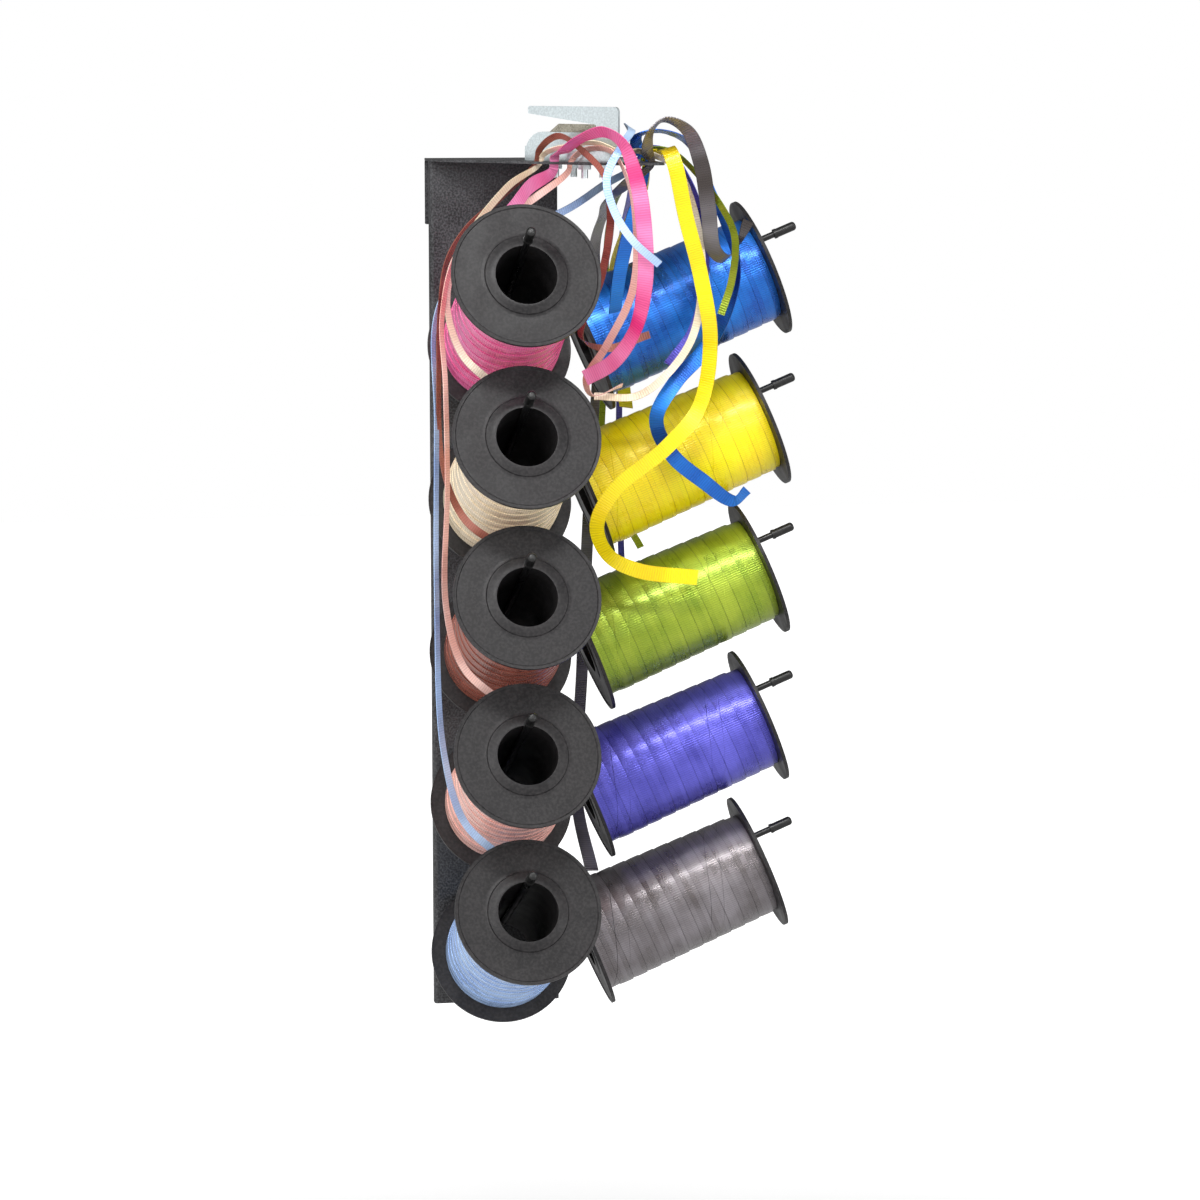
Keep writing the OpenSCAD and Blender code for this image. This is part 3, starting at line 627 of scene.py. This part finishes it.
def hardMaterial(name, facts, placed=None):
    # placed is the frame of a spool, whose flanges are moulded round its axis
    material, tree, shader = newMaterial(name)
    place = node(tree, "ShaderNodeTexCoord").outputs["Object"]
    marks = useGroup(
        tree, groups["speckle"], Place=place, Speckle=facts["speckle"], Patch=facts["patch"]
    )
    colour = mixed(tree, marks["Shade"], linear(facts["dark"]), linear(facts["light"]))
    feed(tree, shader["Base Color"], colour)
    feed(tree, shader["Roughness"], remap(tree, marks["Broad"], *speckle["broad"], *facts["rough"]))
    feed(tree, shader["Metallic"], facts["metal"])
    feed(tree, shader["Specular IOR Level"], facts["shine"])
    under = None
    if placed:
        mould = useGroup(
            tree, groups["flangeMould"], Place=place, Origin=tuple(placed.translation),
            Axis=tuple(placed.col[2][:3]),
        )
        under = bumped(tree, shader, mould["Height"], 1, 1)
    bumped(tree, shader, marks["Fine"], facts["bump"], facts["depth"], under)
    return material


# Ribbons: satin with fine ribs across. Colours in sRGB; metal is the share of metallic sheen,
# cross the height of the band that crosses the turns
ribbonLooks = {
    "hot_pink": {"deep": (0.88, 0.14, 0.47), "light": (0.98, 0.6, 0.8), "metal": 0.2, "cross": 0},
    "ivory": {"deep": (0.95, 0.86, 0.7), "light": (0.99, 0.95, 0.87), "metal": 0.15, "cross": 0},
    "terracotta": {
        "deep": (0.42, 0.2, 0.16), "light": (0.72, 0.43, 0.36), "metal": 0.3, "cross": 0,
    },
    "peach": {"deep": (0.94, 0.66, 0.6), "light": (0.99, 0.84, 0.8), "metal": 0.15, "cross": 0},
    "light_blue": {
        "deep": (0.52, 0.64, 0.85), "light": (0.74, 0.84, 0.96), "metal": 0.2, "cross": 0,
    },
    "royal_blue": {
        "deep": (0.07, 0.2, 0.6), "light": (0.14, 0.55, 0.95), "metal": 0.7, "cross": 0.6,
    },
    "yellow": {"deep": (0.96, 0.82, 0.0), "light": (1.0, 0.95, 0.0), "metal": 0.1, "cross": 0.5},
    "lime_green": {
        "deep": (0.42, 0.54, 0.06), "light": (0.68, 0.75, 0.22), "metal": 0.6, "cross": 0.3,
    },
    "violet": {"deep": (0.2, 0.19, 0.58), "light": (0.42, 0.41, 0.86), "metal": 0.6, "cross": 0.6},
    "grey": {"deep": (0.27, 0.24, 0.23), "light": (0.58, 0.56, 0.58), "metal": 0.7, "cross": 1},
}
# Ribs: shade is the share of painted shade along the ribs, and dark scales the deep colour down to
# the colour of the painted shade on ribs and seams and of the darker edges
ribs = {
    "perTurn": 150, "perMetre": 650, "crest": (-0.4, 1), "strength": 0.45, "depth": 0.0002,
    "rough": (0.22, 0.36), "shade": 0.2, "dark": 0.25, "coat": 0.4, "coatRough": 0.25,
}
# Strands lie side by side in each turn, each with its own tone. The seams between strands and turns
# get painted shade;
# seams are given from the middle of a strand or turn, where 0.5 is its edge
strands = {
    "perTurn": 3, "shift": 17.3, "tone": (0.1, 0.9), "runScale": 1.3, "runShare": 0.35,
    "slowScale": 45, "slowShare": 0.65, "fineSeamShade": (0.43, 0.49), "fineShadeShare": 0.6,
    "fineScale": 0.6, "mainSeamShade": (0.475, 0.495), "mainShadeShare": 0.8,
}
crossBand = {"pitch": 0.15, "start": 2.3, "width": 0.14, "edge": 0.92, "depth": 0.0005}
# Loose ribbons: tone along the length, and darker towards both edges
looseBand = {"scale": 22, "tone": (0.2, 0.8), "edgeDarkening": (0.42, 0.5), "edgeDarkShare": 0.4, "darkerWeight": 0.5}


def scaled(tree, value, factor):
    return maths(tree, "MULTIPLY", value, factor)


def fromCentre(tree, value, centre=0.5):
    return maths(tree, "ABSOLUTE", maths(tree, "SUBTRACT", value, centre))


def ribWave(tree, place, count):
    wave = maths(tree, "SINE", scaled(tree, place, count * 2 * math.pi))
    return remap(tree, wave, *ribs["crest"])


def makeWoundStrands():
    # Bands follow the wound ribbon round and round, so their tone runs on along its length
    tree, given, results = newGroup(
        "woundStrands", {"Spot": "Vector"}, ["Tone", "Seam", "Rib", "Cross"]
    )
    x, y, z = split(tree, given["Spot"])
    turn = maths(tree, "DIVIDE", maths(tree, "ARCTAN2", y, x), 2 * math.pi)
    start, rise = windingRun()
    along = maths(tree, "DIVIDE", maths(tree, "SUBTRACT", z, start), rise)
    phase = maths(tree, "SUBTRACT", maths(tree, "ADD", along, 2), turn)
    runs = maths(tree, "ADD", maths(tree, "FLOOR", phase), turn)
    inTurn = maths(tree, "FRACT", phase)
    within = scaled(tree, inTurn, strands["perTurn"])
    key = maths(tree, "ADD", runs, scaled(tree, maths(tree, "FLOOR", within), strands["shift"]))
    run = scaled(tree, noiseAlong(tree, key, strands["runScale"]), strands["runShare"])
    slow = scaled(tree, noise(tree, given["Spot"], strands["slowScale"]), strands["slowShare"])
    feed(tree, results["Tone"], remap(tree, maths(tree, "ADD", run, slow), *strands["tone"]))
    inStrand = fromCentre(tree, maths(tree, "FRACT", within))
    # Painted shade in the fine seams between strands and the main seams between turns
    fineSeamShade = maths(
        tree, "MULTIPLY", remap(tree, inStrand, *strands["fineSeamShade"], 0, strands["fineShadeShare"]),
        noiseAlong(tree, key, strands["fineScale"]),
    )
    mainSeamShade = remap(tree, fromCentre(tree, inTurn), *strands["mainSeamShade"], 0, strands["mainShadeShare"])
    feed(tree, results["Seam"], maths(tree, "MAXIMUM", fineSeamShade, mainSeamShade))
    crossing = maths(tree, "ADD", scaled(tree, along, crossBand["pitch"]), turn)
    inCross = maths(tree, "FRACT", maths(tree, "ADD", crossing, crossBand["start"]))
    half = crossBand["width"] / 2
    raised = remap(tree, fromCentre(tree, inCross, half), half, half * crossBand["edge"])
    feed(tree, results["Cross"], raised)
    feed(tree, results["Rib"], ribWave(tree, turn, ribs["perTurn"]))
    return tree


def makeLooseStrands():
    tree, given, results = newGroup("looseStrands", {"Placed": "Vector"}, ["Tone", "Seam", "Rib"])
    across, length = split(tree, given["Placed"])[:2]
    tone = noiseAlong(tree, length, looseBand["scale"])
    feed(tree, results["Tone"], remap(tree, tone, *looseBand["tone"]))
    # Darker towards both edges of the ribbon
    edgeDarkening = remap(
        tree, maths(tree, "ABSOLUTE", across), *looseBand["edgeDarkening"], 0, looseBand["edgeDarkShare"]
    )
    feed(tree, results["Seam"], edgeDarkening)
    feed(tree, results["Rib"], ribWave(tree, length, ribs["perMetre"]))
    return tree


groups["wound"] = makeWoundStrands()
groups["loose"] = makeLooseStrands()


def satin(tree, shader, looks, marks, darkerShare):
    # Colour from the tone, with painted shade along the ribs and in the wound ribbons' seams; loose
    # ribbons get darker towards their edges
    deep, light = linear(looks["deep"]), linear(looks["light"])
    dark = tuple(c * ribs["dark"] for c in deep)
    colour = mixed(tree, marks["Tone"], deep, light)
    ribbed = mixed(tree, scaled(tree, marks["Rib"], ribs["shade"]), colour, dark)
    # Darker in the seams of wound ribbons (painted shade) and towards the edges of loose ones
    shaded = mixed(tree, scaled(tree, marks["Seam"], darkerShare), ribbed, dark)
    feed(tree, shader["Base Color"], shaded)
    feed(tree, shader["Roughness"], remap(tree, marks["Tone"], 0, 1, *ribs["rough"]))
    feed(tree, shader["Metallic"], looks["metal"])
    feed(tree, shader["Coat Weight"], looks["metal"] * ribs["coat"])
    feed(tree, shader["Coat Roughness"], ribs["coatRough"])
    return bumped(tree, shader, marks["Rib"], ribs["strength"], ribs["depth"])


def woundMaterial(name, looks, darkerShare):
    material, tree, shader = newMaterial(name + "_wound")
    spot = node(tree, "ShaderNodeAttribute", attribute_name="spoolSpot").outputs["Vector"]
    marks = useGroup(tree, groups["wound"], Spot=spot)
    ribbed = satin(tree, shader, looks, marks, darkerShare)
    if looks["cross"]:
        bumped(tree, shader, marks["Cross"], looks["cross"], crossBand["depth"], ribbed)
    return material


def looseMaterial(name, looks):
    material, tree, shader = newMaterial(name + "_loose")
    placed = node(tree, "ShaderNodeUVMap", uv_map="ribbonMap").outputs[0]
    marks = useGroup(tree, groups["loose"], Placed=placed)
    satin(tree, shader, looks, marks, looseBand["darkerWeight"])
    return material


def setMaterial(piece, material):
    piece.data.materials.clear()
    piece.data.materials.append(material)


def dress():
    hard = {name: hardMaterial(name, facts) for name, facts in surfaces.items()}
    for part in frame["record"]["subparts"]:
        if part["material_slot"] in hard:
            setMaterial(frame["nodes"][part["node"]], hard[part["material_slot"]])
    for column, facts in columns.items():
        for number, colour in enumerate(facts["colours"]):
            name = "%s_spool_%d" % (column, number + 1)
            moulded = hardMaterial(
                name + "_plastic", surfaces["black_plastic"], spoolFrame(column, number)
            )
            setMaterial(frame["nodes"][name], moulded)
            looks = ribbonLooks[colour]
            setMaterial(woundRibbons[colour], woundMaterial(colour, looks, facts["darkerWeight"]))
            setMaterial(looseRibbons[colour], looseMaterial(colour, looks))


dress()
print("materials made")

# Pale floor well below the hung rack, a white backdrop seen by the camera only, soft lights
studio = {"front": 1.35, "back": 0.2, "fade": (-1, 0.35), "aim": (0.05, -0.05, -0.25)}
floorLook = {
    "size": 12, "height": -0.95, "pale": (0.93, 0.96), "patch": 3, "bounce": 0.85, "rough": 0.8,
    "glow": 0.75, "glowFrom": 0.2, "glowFull": 1.9,  # grows with the metres from the middle
}
white = (1.0, 1.0, 1.0)
lights = [
    {"place": (-0.22, -1.06, 0.96), "width": 0.9, "height": 0.18, "power": 15},  # above
    {"place": (-1.5, -2.2, 0.9), "width": 1.0, "height": 1.0, "power": 24},  # front left
    {"place": (1.8, -1.8, 0.2), "width": 1.0, "height": 1.0, "power": 13},  # front right
    {"place": (-1.6, -0.2, -0.45), "width": 0.8, "height": 0.8, "power": 4},  # low left
]


def makeWorld():
    # The object sees soft light, brighter from the front; the camera sees plain white
    world = bpy.data.worlds.new("studio")
    world.use_nodes = True
    scene.world = world
    tree = world.node_tree
    tree.nodes.clear()
    depth = split(tree, node(tree, "ShaderNodeTexCoord").outputs["Generated"])[1]
    sky = node(tree, "ShaderNodeBackground")
    feed(tree, sky.inputs["Color"], white)
    strength = remap(tree, depth, *studio["fade"], studio["front"], studio["back"])
    feed(tree, sky.inputs["Strength"], strength)
    backdrop = node(tree, "ShaderNodeBackground")
    feed(tree, backdrop.inputs["Color"], white)
    feed(tree, backdrop.inputs["Strength"], 1)
    chosen = node(tree, "ShaderNodeMixShader")
    seen = node(tree, "ShaderNodeLightPath").outputs["Is Camera Ray"]
    for place, value in enumerate((seen, sky.outputs[0], backdrop.outputs[0])):
        tree.links.new(value, chosen.inputs[place])
    tree.links.new(chosen.outputs[0], node(tree, "ShaderNodeOutputWorld").inputs["Surface"])


def makeFloor():
    bpy.ops.mesh.primitive_plane_add(size=floorLook["size"], location=(0, 0, floorLook["height"]))
    floor = bpy.context.object
    floor.name = "floor"
    material, tree, shader = newMaterial("pale_floor")
    place = node(tree, "ShaderNodeTexCoord").outputs["Object"]
    patches = noise(tree, place, floorLook["patch"])
    pale = mixed(tree, patches, *[(shade, shade, shade) for shade in floorLook["pale"]])
    seen = node(tree, "ShaderNodeLightPath").outputs["Is Camera Ray"]
    feed(tree, shader["Base Color"], mixed(tree, seen, (floorLook["bounce"],) * 3, pale))
    feed(tree, shader["Roughness"], floorLook["rough"])
    feed(tree, shader["Emission Color"], white)
    away = vectors(tree, "LENGTH", place)  # no glow under the object, so its shadow stays
    glow = remap(tree, away, floorLook["glowFrom"], floorLook["glowFull"], 0, floorLook["glow"])
    feed(tree, shader["Emission Strength"], maths(tree, "MULTIPLY", seen, glow))
    floor.data.materials.append(material)


def makeLights():
    for facts in lights:
        bpy.ops.object.light_add(type="AREA", location=facts["place"])
        lamp = bpy.context.object
        lamp.data.energy = facts["power"]
        lamp.data.shape = "RECTANGLE"
        lamp.data.size = facts["width"]
        lamp.data.size_y = facts["height"]
        aim = Vector(studio["aim"]) - Vector(facts["place"])
        lamp.rotation_euler = aim.to_track_quat("-Z", "Y").to_euler()


makeWorld()
makeFloor()
makeLights()
scene.view_settings.view_transform = "Standard"
print("studio made")
